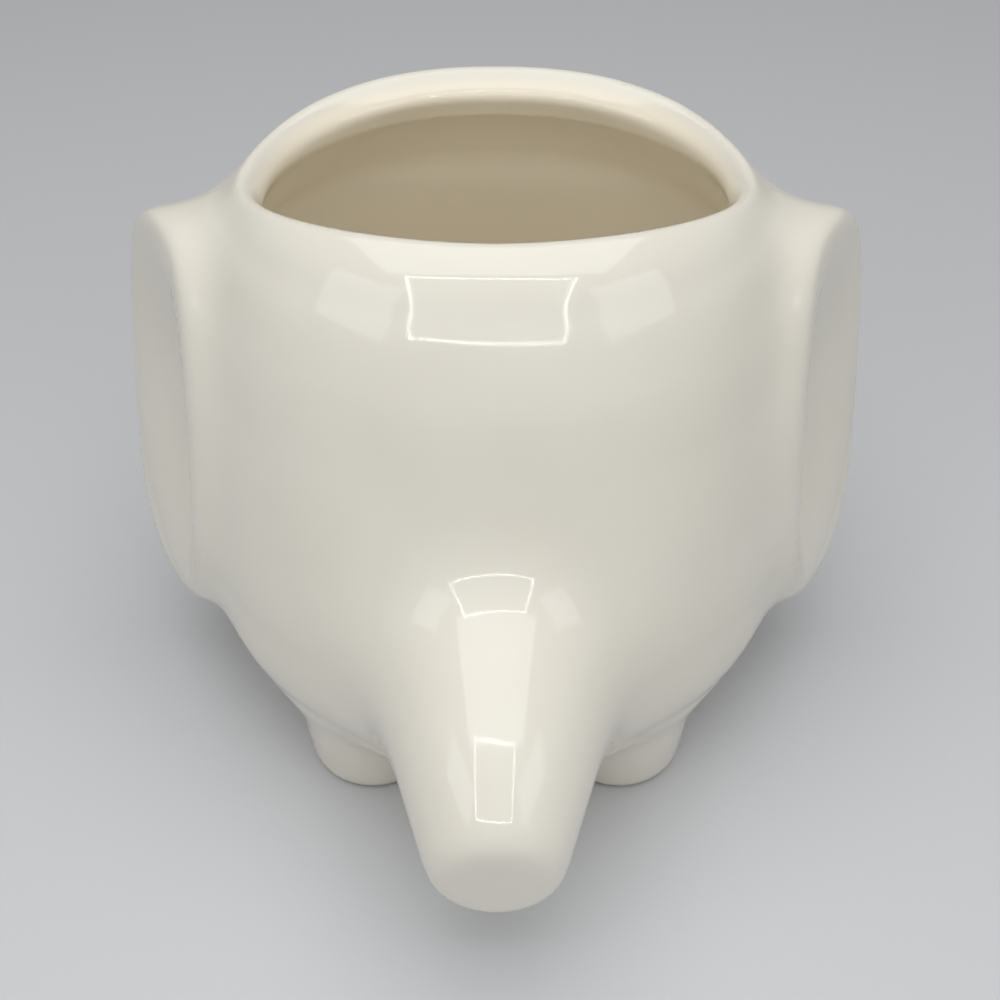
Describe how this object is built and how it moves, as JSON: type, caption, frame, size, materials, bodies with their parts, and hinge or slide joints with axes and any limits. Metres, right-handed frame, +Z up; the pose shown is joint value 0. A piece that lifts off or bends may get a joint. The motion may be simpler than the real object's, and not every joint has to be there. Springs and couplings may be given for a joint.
{
  "type": "animal shaped planter",
  "caption": "Small glazed ceramic planter in the form of a standing elephant: round hollow body with an oval opening in the back, dished ears, stubby trunk, short legs and a small tail.",
  "frame": {"origin": "on the table, under the middle of the whole outline with trunk and tail", "axes": "+Z up, -Y the way the face and the trunk look, +X the animal's left side"},
  "size_m": [0.131, 0.1374, 0.1036],
  "materials": {
    "cream_glaze": "glossy",
    "foot_glaze": "glossy, bare clay under the feet"
  },
  "bodies": {
    "root": {"pot_body": "cream_glaze", "trunk": "cream_glaze", "left_ear": "cream_glaze", "right_ear": "cream_glaze", "tail": "cream_glaze", "front_left_leg": "foot_glaze", "front_right_leg": "foot_glaze", "rear_left_leg": "foot_glaze", "rear_right_leg": "foot_glaze"}
  },
  "joints": []
}
